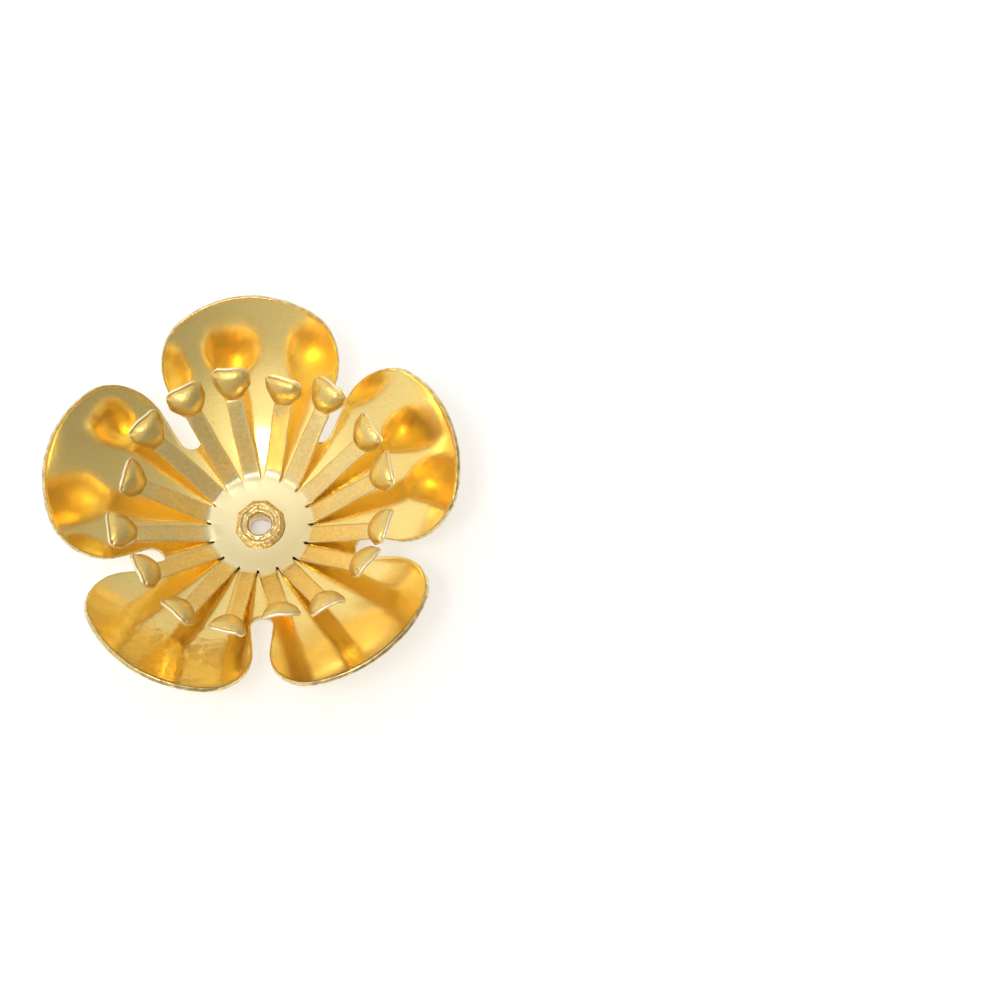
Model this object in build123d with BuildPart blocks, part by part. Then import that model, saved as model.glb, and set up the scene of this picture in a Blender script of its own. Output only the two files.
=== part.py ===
from build123d import *
import math
import os

# A five-petal flower bead cap: a domed sheet dish, sixteen stamens cut and bent from one disc,
# and a hollow rivet that clamps the two together. Millimetres, +Z up, the flower opens upwards.
# The origin is on the axis of the rivet's bore, level with the flat land under the dish.

# Dish
dish_sheet = 0.3            # thickness of the sheet
dome_radius = 16.5          # outside of the dish, part of a sphere
land_radius = 2.3           # flat spot under the dish, where the rivet head seats
petal_count = 5
tip_radius = 13.2           # from the axis to the tip of a petal
slot_floor_radius = 7.05    # from the axis to the centre of a slot's round floor
slot_half_width = 0.71      # radius of that round floor
corner_radius = 2.9         # rounded shoulder of a petal
corner_station = 9.26       # where that shoulder is nearest the slot, measured along the slot
corner_gap = 0.53           # half of the slot's width there

# Stamens
stamen_sheet = 0.2          # thickness of the sheet
stamen_count = 16
disc_radius = 3.3           # flat disc that the stamens grow from
disc_z = 0.5                # underside of the disc
scallop_radius = 0.16       # round notch between two stamens
arm_width = 1.04
arm_length = 5.5            # from the start of the bend to the cup
arm_foot = 0.6              # flat root that lies in the disc
bend_radius = 0.4           # inside radius of the bend at the disc's edge
bend_start_radius = 3.1     # from the axis to the start of the bend
first_stamen_angle = 120.0  # azimuth of the first root, then clockwise in equal steps

# Cup at the end of a stamen: half of a blunt egg, open away from the axis
cup_half_width = 1.15
cup_widest = 1.75           # from the neck to the widest section
cup_length = 2.35           # from the neck to the blunt end
cup_neck_half_width = 0.3
cup_overlap = 0.3           # how far the strip runs on under the cup's neck

# How each hand-bent stamen stands, in degrees:
# swing  sideways turn of the strip from its root's azimuth
# lean   slope of the strip above the horizontal
# rise   slope of the cup's mouth above the horizontal
# turn   sideways turn of the cup from its strip
stamens = [
    # swing, lean, rise, turn
    (0, 43, 56, -7),
    (2, 41, 58, -11),
    (-3, 48, 67, -4),
    (4, 36, 54, -6),
    (0, 33, 60, 0),
    (6, 35, 58, -7),
    (1, 36, 61, -5),
    (9, 38, 61, -13),
    (4, 38, 59, -10),
    (8, 44, 66, -12),
    (5, 37, 56, -9),
    (4, 34, 61, -12),
    (3, 40, 60, -12),
    (2, 36, 47, -5),
    (2, 43, 65, -4),
    (-1, 39, 52, -8),
]

# Rivet
bore_radius = 0.68
shank_radius = 0.98
hole_clearance = 0.03       # between the shank and the holes in the two sheets
seat_gap = 0.02             # between the rivet and each sheet
head_radius = 2.6           # domed ring on the back
head_height = 1.3
head_crown_radius = 1.75    # from the axis to the lowest ring of the head
mouth_radius = 1.0          # wide end of the funnel in the head
funnel_height = 0.35
flange_radius = 1.62        # ring that is peened over on the front
flange_height = 0.32
flange_edge = 0.1           # rounding of its top

# Flats that the peening left round the flange: azimuth in degrees, distance from the axis
flange_flats = [
    # azimuth, distance
    (8, 1.58),
    (48, 1.50),
    (90, 1.56),
    (128, 1.48),
    (172, 1.46),
    (213, 1.52),
    (262, 1.55),
    (308, 1.60),
]

# Derived heights and lengths
dome_centre_z = math.sqrt(dome_radius**2 - land_radius**2)
inner_dome_radius = dome_radius - dish_sheet
inner_land_radius = math.sqrt(inner_dome_radius**2 - (dome_centre_z - dish_sheet)**2)
sheet_hole_radius = shank_radius + hole_clearance
disc_top = disc_z + stamen_sheet
prism_height = 2 * dome_radius
half_step = math.radians(180 / petal_count)


def on_dome(radius, reach):
    """A point of the dish's section at a distance from the axis, on the sphere of the given radius."""
    return (reach, dome_centre_z - math.sqrt(radius**2 - reach**2))


def turned(point, angle):
    """A plan point turned about the axis, by an angle in radians."""
    x, y = point
    return (
        x * math.cos(angle) - y * math.sin(angle),
        x * math.sin(angle) + y * math.cos(angle),
    )


def mirrored(point):
    """A plan point mirrored in the axis of the first petal, +Y."""
    return (-point[0], point[1])


def petal_half():
    """Right half of the first petal: tip, shoulder and slot, as the points that its arcs need."""
    along = Vector(math.sin(half_step), math.cos(half_step))
    across = Vector(-math.cos(half_step), math.sin(half_step))
    floor_centre = along * slot_floor_radius
    corner = along * corner_station + across * (corner_radius + corner_gap)
    drop = corner.Y - tip_radius
    tip_arc_radius = (corner_radius**2 - corner.X**2 - drop**2) / (2 * (drop + corner_radius))
    tip_centre = Vector(0, tip_radius - tip_arc_radius)
    shoulder_start = tip_centre + (corner - tip_centre).normalized() * tip_arc_radius

    # The straight side touches the slot's floor circle and the shoulder circle from opposite sides
    span = corner - floor_centre
    lean = math.acos((slot_half_width + corner_radius) / span.length)
    facing = turned((span.X / span.length, span.Y / span.length), lean)
    normal = Vector(*facing)
    side_inner = floor_centre + normal * slot_half_width
    side_outer = corner - normal * corner_radius

    start = (shoulder_start - corner).normalized()
    end = (side_outer - corner).normalized()
    shoulder_middle = corner + (start + end).normalized() * corner_radius
    floor_low = floor_centre - along * slot_half_width
    points = (shoulder_start, shoulder_middle, side_outer, side_inner, floor_low)
    return [(point.X, point.Y) for point in points]


# Dish: a spherical shell with a flat land, cut to five petals
with BuildPart() as petal_dish:
    reach = tip_radius + dish_sheet
    outer_rim = on_dome(dome_radius, reach)
    inner_rim = on_dome(inner_dome_radius, reach)
    with BuildSketch(Plane.XZ) as wall_section:
        with BuildLine():
            Line((sheet_hole_radius, 0), (land_radius, 0))
            ThreePointArc((land_radius, 0), on_dome(dome_radius, reach / 2), outer_rim)
            Line(outer_rim, inner_rim)
            ThreePointArc(
                inner_rim, on_dome(inner_dome_radius, reach / 2), (inner_land_radius, dish_sheet)
            )
            Line((inner_land_radius, dish_sheet), (sheet_hole_radius, dish_sheet))
            Line((sheet_hole_radius, dish_sheet), (sheet_hole_radius, 0))
        make_face()
    revolve(axis=Axis.Z)
    shoulder_start, shoulder_middle, side_outer, side_inner, floor_low = petal_half()
    with BuildSketch(Plane.XY) as petal_outline:
        with BuildLine():
            for petal in range(petal_count):
                angle = -2 * half_step * petal
                ThreePointArc(
                    turned(mirrored(shoulder_start), angle),
                    turned((0, tip_radius), angle),
                    turned(shoulder_start, angle),
                )
                ThreePointArc(
                    turned(shoulder_start, angle),
                    turned(shoulder_middle, angle),
                    turned(side_outer, angle),
                )
                Line(turned(side_outer, angle), turned(side_inner, angle))
                ThreePointArc(
                    turned(side_inner, angle),
                    turned(floor_low, angle),
                    turned(mirrored(side_inner), angle - 2 * half_step),
                )
                Line(
                    turned(mirrored(side_inner), angle - 2 * half_step),
                    turned(mirrored(side_outer), angle - 2 * half_step),
                )
                ThreePointArc(
                    turned(mirrored(side_outer), angle - 2 * half_step),
                    turned(mirrored(shoulder_middle), angle - 2 * half_step),
                    turned(mirrored(shoulder_start), angle - 2 * half_step),
                )
        make_face()
    extrude(amount=prism_height, mode=Mode.INTERSECT)
petal_dish.part.label = "petal_dish"


def strip_frame(azimuth, swing):
    """Plane of one strip's side view: x outwards, y up, origin at the start of the bend."""
    root = math.radians(azimuth)
    heading = math.radians(azimuth + swing)
    return Plane(
        origin=(bend_start_radius * math.cos(root), bend_start_radius * math.sin(root), disc_z),
        x_dir=(math.cos(heading), math.sin(heading), 0),
        z_dir=(math.sin(heading), -math.cos(heading), 0),
    )


def strip_point(lean, along, depth):
    """A point of a strip's side view: a distance past the bend, and a depth below the upper face."""
    slope = math.radians(lean)
    x = bend_radius * math.sin(slope) + along * math.cos(slope) + depth * math.sin(slope)
    rise = bend_radius * (1 - math.cos(slope)) + along * math.sin(slope)
    return (x, stamen_sheet + rise - depth * math.cos(slope))


def cup_frame(azimuth, swing, lean, rise, turn):
    """Plane of a cup's half section: x along its mouth from the neck, y sideways."""
    neck = strip_frame(azimuth, swing).from_local_coords(
        strip_point(lean, straight_length(lean), stamen_sheet / 2)
    )
    heading = math.radians(azimuth + swing + turn)
    slope = math.radians(rise)
    outwards = Vector(math.cos(heading), math.sin(heading), 0)
    along = outwards * math.cos(slope) + Vector(0, 0, math.sin(slope))
    dome_side = Vector(0, 0, math.cos(slope)) - outwards * math.sin(slope)
    return Plane(origin=neck, x_dir=along, z_dir=dome_side)


def straight_length(lean):
    """Straight run of a strip, from the end of its bend to the cup's neck."""
    return arm_length - bend_radius * math.radians(lean)


def strip_profile(lean):
    """Side view of a strip: flat foot, bend, straight run and the short length under the cup."""
    end = straight_length(lean) + cup_overlap
    bend_top = strip_point(lean, 0, 0)
    bend_under = strip_point(lean, 0, stamen_sheet)
    end_top = strip_point(lean, end, 0)
    end_under = strip_point(lean, end, stamen_sheet)
    outer_bend = bend_radius + stamen_sheet
    with BuildLine() as profile:
        Line((-arm_foot, 0), (0, 0))
        RadiusArc((0, 0), bend_under, -outer_bend)
        Line(bend_under, end_under)
        Line(end_under, end_top)
        Line(end_top, bend_top)
        RadiusArc(bend_top, (0, stamen_sheet), bend_radius)
        Line((0, stamen_sheet), (-arm_foot, stamen_sheet))
        Line((-arm_foot, stamen_sheet), (-arm_foot, 0))
    return profile.edges()


def cup_profile():
    """Half section of a cup's wall, beside its long axis."""
    flank = cup_half_width - cup_neck_half_width
    flank_radius = (cup_widest**2 + flank**2) / (2 * flank)
    shoulder = cup_length - cup_widest
    inner_shoulder = shoulder - stamen_sheet
    inner_flank = flank_radius - stamen_sheet
    flank_centre_y = cup_half_width - flank_radius
    neck_reach = math.sqrt(inner_flank**2 - (cup_widest - stamen_sheet)**2)
    neck_inner = (stamen_sheet, flank_centre_y + neck_reach)
    with BuildLine() as profile:
        RadiusArc((0, cup_neck_half_width), (cup_widest, cup_half_width), flank_radius)
        RadiusArc(
            (cup_widest, cup_half_width), (cup_length, cup_half_width - shoulder), shoulder
        )
        Line((cup_length, cup_half_width - shoulder), (cup_length, 0))
        Line((cup_length, 0), (cup_length - stamen_sheet, 0))
        Line(
            (cup_length - stamen_sheet, 0),
            (cup_length - stamen_sheet, cup_half_width - shoulder),
        )
        RadiusArc(
            (cup_length - stamen_sheet, cup_half_width - shoulder),
            (cup_widest, cup_half_width - stamen_sheet),
            -inner_shoulder,
        )
        RadiusArc((cup_widest, cup_half_width - stamen_sheet), neck_inner, -inner_flank)
        Line(neck_inner, (stamen_sheet, 0))
        Line((stamen_sheet, 0), (0, 0))
        Line((0, 0), (0, cup_neck_half_width))
    return profile.edges()


# Stamens: a flat disc with sixteen strips bent up from its edge, each ending in a cup
with BuildPart() as stamen_crown:
    with BuildSketch(Plane.XY.offset(disc_z)) as disc_outline:
        Circle(disc_radius)
        Circle(sheet_hole_radius, mode=Mode.SUBTRACT)
        notch_angle = first_stamen_angle + 180 / stamen_count
        with PolarLocations(disc_radius, stamen_count, start_angle=notch_angle):
            Circle(scallop_radius, mode=Mode.SUBTRACT)
    extrude(amount=stamen_sheet)
    for number, (swing, lean, rise, turn) in enumerate(stamens):
        azimuth = first_stamen_angle - number * 360 / stamen_count
        with BuildSketch(strip_frame(azimuth, swing)):
            make_face(strip_profile(lean))
        extrude(amount=arm_width / 2, both=True)
        cup_plane = cup_frame(azimuth, swing, lean, rise, turn)
        with BuildSketch(cup_plane):
            make_face(cup_profile())
        revolve(axis=Axis(cup_plane.origin, cup_plane.x_dir), revolution_arc=180)
stamen_crown.part.label = "stamen_crown"


# Rivet: a domed ring on the back, a tube through both sheets and a peened flange on the front
with BuildPart() as hollow_rivet:
    ring_radius = head_radius - head_crown_radius
    head_top = -seat_gap
    ring_z = head_top - head_height + ring_radius
    mouth_z = ring_z - math.sqrt(ring_radius**2 - (head_crown_radius - mouth_radius)**2)
    flange_z = disc_top + seat_gap
    flange_top = flange_z + flange_height
    with BuildSketch(Plane.XZ) as rivet_section:
        with BuildLine():
            Line((bore_radius, mouth_z + funnel_height), (bore_radius, flange_top - flange_edge))
            Line((bore_radius, flange_top - flange_edge), (bore_radius + flange_edge, flange_top))
            Line((bore_radius + flange_edge, flange_top), (flange_radius - flange_edge, flange_top))
            RadiusArc(
                (flange_radius - flange_edge, flange_top),
                (flange_radius, flange_top - flange_edge),
                flange_edge,
            )
            Line((flange_radius, flange_top - flange_edge), (flange_radius, flange_z))
            Line((flange_radius, flange_z), (shank_radius, flange_z))
            Line((shank_radius, flange_z), (shank_radius, head_top))
            Line((shank_radius, head_top), (head_radius, head_top))
            Line((head_radius, head_top), (head_radius, ring_z))
            ThreePointArc(
                (head_radius, ring_z), (head_crown_radius, ring_z - ring_radius), (mouth_radius, mouth_z)
            )
            Line((mouth_radius, mouth_z), (bore_radius, mouth_z + funnel_height))
        make_face()
    revolve(axis=Axis.Z)
    with BuildSketch(Plane.XY.offset(flange_z)) as peened_flats:
        for azimuth, distance in flange_flats:
            with PolarLocations(distance + flange_radius / 2, 1, start_angle=azimuth):
                Rectangle(flange_radius, 2 * flange_radius)
    extrude(amount=2 * flange_height, mode=Mode.SUBTRACT)
hollow_rivet.part.label = "hollow_rivet"

os.makedirs("parts", exist_ok=True)
for piece in (petal_dish, stamen_crown, hollow_rivet):
    export_step(piece.part, f"parts/{piece.part.label}.step")
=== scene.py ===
import math
import random

import bpy
from mathutils import Matrix, Vector, noise
from mathutils.geometry import delaunay_2d_cdt


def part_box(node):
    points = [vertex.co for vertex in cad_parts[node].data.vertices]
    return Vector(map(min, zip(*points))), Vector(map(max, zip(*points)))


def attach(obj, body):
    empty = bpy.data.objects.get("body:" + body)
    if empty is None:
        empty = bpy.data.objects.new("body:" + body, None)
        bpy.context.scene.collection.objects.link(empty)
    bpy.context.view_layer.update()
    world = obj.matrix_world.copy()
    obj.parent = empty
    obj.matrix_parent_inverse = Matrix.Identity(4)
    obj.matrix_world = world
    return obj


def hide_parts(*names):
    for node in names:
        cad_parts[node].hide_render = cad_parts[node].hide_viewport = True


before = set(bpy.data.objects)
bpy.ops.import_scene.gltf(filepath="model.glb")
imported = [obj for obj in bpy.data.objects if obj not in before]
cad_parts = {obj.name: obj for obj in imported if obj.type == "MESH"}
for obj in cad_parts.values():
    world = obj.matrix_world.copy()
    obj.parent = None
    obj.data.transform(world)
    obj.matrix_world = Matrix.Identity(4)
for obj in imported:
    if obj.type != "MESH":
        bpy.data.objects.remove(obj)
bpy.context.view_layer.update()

# A flower bead cap in gold-coloured brass: a domed dish of five petals, sixteen stamens bent up
# from one disc, and a hollow rivet through both. Sizes are millimetres times MM, +Z is up.
MM = 0.001
scene = bpy.context.scene

# Dish
DISH_SHEET = 0.3
DOME_RADIUS = 16.5
LAND_RADIUS = 2.3
DOME_CENTRE_Z = math.sqrt(DOME_RADIUS**2 - LAND_RADIUS**2)
PETAL_COUNT = 5
TIP_RADIUS = 13.2
SLOT_FLOOR_RADIUS = 7.05
SLOT_HALF_WIDTH = 0.71
CORNER_RADIUS = 2.9
CORNER_STATION = 9.26
CORNER_GAP = 0.53
RIM_FLARE = 0.3             # how far the petals' tips lie below a true sphere
BEATEN_SPOT = Vector((-6.3, -9.4, 0))   # the most uneven part of the dish
OUTLINE_STEP = 0.11         # spacing of points along the petals' edge
FILL_STEP = 0.32            # spacing of points in the middle of the sheet
SHEET_HOLE_RADIUS = 1.03

# Stamens
STAMEN_SHEET = 0.2
STAMEN_COUNT = 16
DISC_TOP = 0.7
ARM_HALF_WIDTH = 0.52
ARM_LENGTH = 5.5
BEND_RADII = (0.35, 0.85)
BEND_START = 3.1
FIRST_STAMEN_ANGLE = 120.0
HOOD_LENGTH = 2.35
HOOD_HALF_WIDTH = 1.18
HOOD_WIDEST = 1.4
HOOD_CORNER = 0.45          # rounding of the lip's two corners
HOOD_CROWN = 1.0            # from the neck to the highest part of the dome
HOOD_DEPTH = 0.66
LIP_WIDTH = 0.17            # flat brim left beyond the dome
LIP_ARCH = 0.12             # how far the middle of the brim stands above its corners
LIP_BULGE = 0.16            # how far the middle of the brim reaches past its corners
HOOD_FLANGE = 0.05          # flat rim left along the dome's sides
DISC_DISH = 0.11            # how far bending the stamens drew the disc's edge up
PAINTED_SHADE_SIDE = (0.75, -0.66, 0.0)    # direction toward which the disc's colour is painted darker, as painted shade
RIDGE_RADIUS = 2.8          # a low ridge that the bending left before each strip, from the axis
RIDGE_REACH = 0.34
RIDGE_HEIGHT = 0.055
NOTCH_FLOOR = 2.93          # round notch between two stamens, from the axis
NOTCH_END = 3.12
EDGE_ROLL = 0.05            # how far the shears drew one long edge of a strip down
EDGE_BURR = 0.035           # how far they pushed the other one up
CUT_BULGE = 0.06            # how far the tumbled cut stands out in the middle of the sheet
CUT_INSET = 0.02            # how far it draws the sheet's two corners back
CUT_SHARES = (0.06, 0.2, 0.4, 0.6, 0.8, 0.94)

# How each hand-bent stamen stands, in degrees, clockwise from the first one:
# swing of the strip, lean of the strip, rise of the hood, turn of the hood
STAMENS = [
    (0, 43, 56, -7),
    (2, 41, 58, -11),
    (-3, 48, 67, -4),
    (4, 36, 54, -6),
    (0, 33, 60, 0),
    (6, 35, 58, -7),
    (1, 36, 61, -5),
    (9, 38, 61, -13),
    (4, 38, 59, -10),
    (8, 44, 66, -12),
    (5, 37, 56, -9),
    (4, 34, 61, -12),
    (3, 40, 60, -12),
    (2, 36, 47, -5),
    (2, 43, 65, -4),
    (-1, 39, 52, -8),
]

# Rivet
BORE_RADIUS = 0.68
SHANK_RADIUS = 0.98
HEAD_RADIUS = 2.6
HEAD_CROWN_RADIUS = 1.75
HEAD_TOP = -0.02
HEAD_HEIGHT = 1.297
MOUTH_RADIUS = 1.0
FLANGE_RADIUS = 1.62
FLANGE_Z = 0.72
FLANGE_TOP = 1.04
FLANGE_FLATS = [
    (8, 1.58),
    (48, 1.50),
    (90, 1.56),
    (128, 1.48),
    (172, 1.46),
    (213, 1.52),
    (262, 1.55),
    (308, 1.60),
]


# Mesh helpers

def new_object(name, mesh):
    """An object at the origin in the scene, holding the given mesh."""
    made = bpy.data.objects.new(name, mesh)
    scene.collection.objects.link(made)
    return made


def mesh_from(name, points, faces):
    """A smooth-shaded mesh from points in millimetres."""
    mesh = bpy.data.meshes.new(name)
    mesh.from_pydata([Vector(point) * MM for point in points], [], faces)
    mesh.polygons.foreach_set("use_smooth", [True] * len(mesh.polygons))
    mesh.update()
    return mesh


def applied(made):
    """The object again, with its modifiers turned into plain mesh."""
    depsgraph = bpy.context.evaluated_depsgraph_get()
    mesh = bpy.data.meshes.new_from_object(made.evaluated_get(depsgraph))
    made.modifiers.clear()
    old = made.data
    made.data = mesh
    if old.users == 0:
        bpy.data.meshes.remove(old)
    mesh.name = made.name
    return made


def smooth_step(low, high, value):
    """0 below low, 1 above high and a soft slope between."""
    t = min(max((value - low) / (high - low), 0.0), 1.0)
    return t * t * (3 - 2 * t)


def turned(point, angle):
    """A plan point turned about the axis, angle in radians."""
    cosine, sine = math.cos(angle), math.sin(angle)
    return Vector((point[0] * cosine - point[1] * sine, point[0] * sine + point[1] * cosine))


def arc(centre, radius, start, end, step):
    """Points of an arc from one angle to another, the last one left out."""
    count = max(2, round(abs(end - start) * radius / step))
    angles = [start + (end - start) * i / count for i in range(count)]
    return [centre + Vector((math.cos(a), math.sin(a))) * radius for a in angles]


def heading(vector):
    return math.atan2(vector.y, vector.x)


# Petal dish

def petal_half():
    """Right half of the first petal's edge in plan, from its tip to the middle of the slot's floor."""
    half_step = math.pi / PETAL_COUNT
    along = Vector((math.sin(half_step), math.cos(half_step)))
    across = Vector((-along.y, along.x))
    floor_centre = along * SLOT_FLOOR_RADIUS
    corner = along * CORNER_STATION + across * (CORNER_RADIUS + CORNER_GAP)
    drop = corner.y - TIP_RADIUS
    tip_arc_radius = (CORNER_RADIUS**2 - corner.x**2 - drop**2) / (2 * (drop + CORNER_RADIUS))
    tip_centre = Vector((0, TIP_RADIUS - tip_arc_radius))
    shoulder_heading = heading(corner - tip_centre)

    span = corner - floor_centre
    lean = math.acos((SLOT_HALF_WIDTH + CORNER_RADIUS) / span.length)
    normal = turned(span.normalized(), lean)
    side_heading = heading(-normal)
    side_outer = corner - normal * CORNER_RADIUS
    side_inner = floor_centre + normal * SLOT_HALF_WIDTH
    steps = round((side_outer - side_inner).length / OUTLINE_STEP)
    side = [side_outer.lerp(side_inner, i / steps) for i in range(steps)]
    normal_heading = heading(normal)
    floor_heading = normal_heading + (heading(-along) - normal_heading) % (2 * math.pi)
    points = arc(tip_centre, tip_arc_radius, math.pi / 2, shoulder_heading, OUTLINE_STEP)
    points += arc(corner, CORNER_RADIUS, shoulder_heading, side_heading, OUTLINE_STEP)
    points += side
    points += arc(floor_centre, SLOT_HALF_WIDTH, normal_heading, floor_heading, OUTLINE_STEP)
    points.append(floor_centre - along * SLOT_HALF_WIDTH)
    return points


def flower_outline():
    """Closed clockwise edge of all petals in plan."""
    half = petal_half()
    other_half = [Vector((-point.x, point.y)) for point in reversed(half)]
    outline = []
    for petal in range(PETAL_COUNT):
        angle = -2 * math.pi / PETAL_COUNT * petal
        outline += [turned(point, angle) for point in half]
        angle -= 2 * math.pi / PETAL_COUNT
        outline += [turned(point, angle) for point in other_half[1:-1]]
    return outline


def inward_normals(outline):
    """Unit normals of a clockwise closed edge, pointing into the sheet."""
    normals = []
    for i, point in enumerate(outline):
        along = outline[(i + 1) % len(outline)] - outline[i - 1]
        normals.append(Vector((along.y, -along.x)).normalized())
    return normals


def petal_wave(x, y):
    """How far the hand-worked sheet stands off a true sphere at a plan point."""
    fade = smooth_step(4.0, 9.0, math.hypot(x, y))
    broad = noise.noise(Vector((x * 0.17, y * 0.17, 3.1))) * 0.09
    fine = noise.noise(Vector((x * 0.55, y * 0.55, 8.4))) * 0.016
    return fade * (broad + fine)


def on_dish(x, y, depth):
    """Point of the sheet over a plan point: depth 0 is the outer face, DISH_SHEET the inner one."""
    reach = math.hypot(x, y)
    if reach < LAND_RADIUS:
        return Vector((x, y, depth))
    base = Vector((x, y, DOME_CENTRE_Z - math.sqrt(DOME_RADIUS**2 - reach**2)))
    normal = (Vector((0, 0, DOME_CENTRE_Z)) - base) / DOME_RADIUS
    base.z -= RIM_FLARE * (max(reach - 7.0, 0.0) / (TIP_RADIUS - 7.0))**2
    return base + normal * (depth + petal_wave(x, y))


def fill_points(edge):
    """Even points of a triangular lattice inside a closed edge, kept off the edge itself."""
    clearance = FILL_STEP * 0.6
    row_step = FILL_STEP * math.sqrt(3) / 2
    cells = {}
    for point in edge:
        cells.setdefault((round(point.x / clearance), round(point.y / clearance)), []).append(point)
    rows = int(TIP_RADIUS / row_step)
    points = []
    for row in range(-rows, rows + 1):
        y = row * row_step
        crossings = sorted(
            a.x + (y - a.y) / (b.y - a.y) * (b.x - a.x)
            for a, b in zip(edge, edge[1:] + edge[:1])
            if (a.y > y) != (b.y > y)
        )
        for start, end in zip(crossings[::2], crossings[1::2]):
            column = math.ceil(start / FILL_STEP - 0.5 * (row % 2))
            while (column + 0.5 * (row % 2)) * FILL_STEP < end:
                point = Vector(((column + 0.5 * (row % 2)) * FILL_STEP, y))
                column += 1
                cell = (round(point.x / clearance), round(point.y / clearance))
                near = (
                    other
                    for i in (-1, 0, 1)
                    for j in (-1, 0, 1)
                    for other in cells.get((cell[0] + i, cell[1] + j), [])
                )
                if point.length > SHEET_HOLE_RADIUS + clearance:
                    if all((point - other).length > clearance for other in near):
                        points.append(point)
    return points


def petal_dish_mesh():
    """The dish as one closed sheet with a sheared edge: a small roll-over below, a burr above."""
    outline = flower_outline()
    normals = inward_normals(outline)
    hole = arc(Vector((0, 0)), SHEET_HOLE_RADIUS, 0, -2 * math.pi, 0.13)
    # Section of the rim, from the inner face over the cut to the outer face:
    # inset from the edge, depth through the sheet, how much of it is cut metal
    rim = [
        (0.45, 1.0, 0.0),
        (0.2, 1.0, 0.0),
        (0.1, 1.0, 0.0),
        (0.055, 1.03, 0.2),
        (0.025, 1.06, 0.8),
        (0.004, 1.0, 1.0),
        (0.0, 0.75, 1.0),
        (0.004, 0.5, 1.0),
        (0.01, 0.3, 1.0),
        (0.02, 0.12, 1.0),
        (0.055, 0.02, 0.6),
        (0.12, 0.0, 0.1),
        (0.24, 0.0, 0.0),
        (0.45, 0.0, 0.0),
    ]
    points = []
    cut = []
    faces = []
    count = len(outline)
    for inset, depth, bare in rim:
        for point, normal in zip(outline, normals):
            ragged = noise.noise(Vector((point.x * 2.1, point.y * 2.1, depth * 2))) * 0.02 * bare
            burr = 1 + 0.5 * noise.noise(Vector((point.x * 1.3, point.y * 1.3, 5.0)))
            burr += 0.5 * noise.noise(Vector((point.x * 2.9, point.y * 2.9, 2.0)))
            level = depth if depth <= 1 else 1 + (depth - 1) * burr
            x, y = point + normal * (inset + ragged)
            points.append(on_dish(x, y, level * DISH_SHEET))
            cut.append(bare)
    for ring in range(len(rim) - 1):
        for i in range(count):
            j = (i + 1) % count
            low, high = ring * count, (ring + 1) * count
            faces.append((low + i, low + j, high + j, high + i))

    inner_edge = [point + normal * rim[0][0] for point, normal in zip(outline, normals)]
    filling = fill_points(inner_edge)
    plan = inner_edge + hole + filling
    edges = [(i, (i + 1) % count) for i in range(count)]
    edges += [(count + i, count + (i + 1) % len(hole)) for i in range(len(hole))]
    flat, _, triangles, _, _, _ = delaunay_2d_cdt(plan, edges, [], 1, 1e-6)
    triangles = [
        face for face in triangles
        if (sum((flat[i] for i in face), Vector((0, 0))) / 3).length > SHEET_HOLE_RADIUS
    ]

    def edge_index(index, face):
        """Where a plan point lies in the mesh: on the rim's first or last ring, or inside a face."""
        if index < count:
            return index if face == "inner" else (len(rim) - 1) * count + index
        start = len(rim) * count + (0 if face == "inner" else len(plan) - count)
        return start + index - count

    for depth in (DISH_SHEET, 0.0):
        for point in hole + filling:
            points.append(on_dish(point.x, point.y, depth))
            cut.append(0.0)
    for face in triangles:
        faces.append([edge_index(i, "inner") for i in face])
        faces.append([edge_index(i, "outer") for i in reversed(face)])
    for i in range(len(hole)):
        j = (i + 1) % len(hole)
        faces.append((
            edge_index(count + i, "outer"),
            edge_index(count + j, "outer"),
            edge_index(count + j, "inner"),
            edge_index(count + i, "inner"),
        ))
    mesh = mesh_from("petals", points, faces)
    mesh.attributes.new("cut", "FLOAT", "POINT").data.foreach_set("value", cut)
    return mesh


# Node trees, for geometry and for materials

def add(tree, kind, inputs=None, **settings):
    """A node of the given kind, with its settings, and its inputs as values or as linked sockets."""
    made = tree.nodes.new(kind)
    for name, value in settings.items():
        setattr(made, name, value)
    for key, value in (inputs or {}).items():
        if isinstance(value, bpy.types.NodeSocket):
            tree.links.new(value, made.inputs[key])
        else:
            made.inputs[key].default_value = value
    return made


def sum_of(tree, operation, *values, clamp=False):
    """Output of a Math node over values or sockets."""
    made = add(tree, "ShaderNodeMath", dict(enumerate(values)), operation=operation)
    made.use_clamp = clamp
    return made.outputs[0]


def vector_of(tree, operation, first, second, key=1):
    """Vector output of a Vector Math node."""
    made = add(tree, "ShaderNodeVectorMath", {0: first, key: second}, operation=operation)
    return made.outputs["Vector"]


def remap(tree, value, from_min, from_max, to_min=0.0, to_max=1.0, kind="LINEAR"):
    """Output of a Map Range node."""
    made = add(tree, "ShaderNodeMapRange", {
        "Value": value,
        "From Min": from_min,
        "From Max": from_max,
        "To Min": to_min,
        "To Max": to_max,
    }, interpolation_type=kind)
    return made.outputs["Result"]


# Stamens

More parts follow.
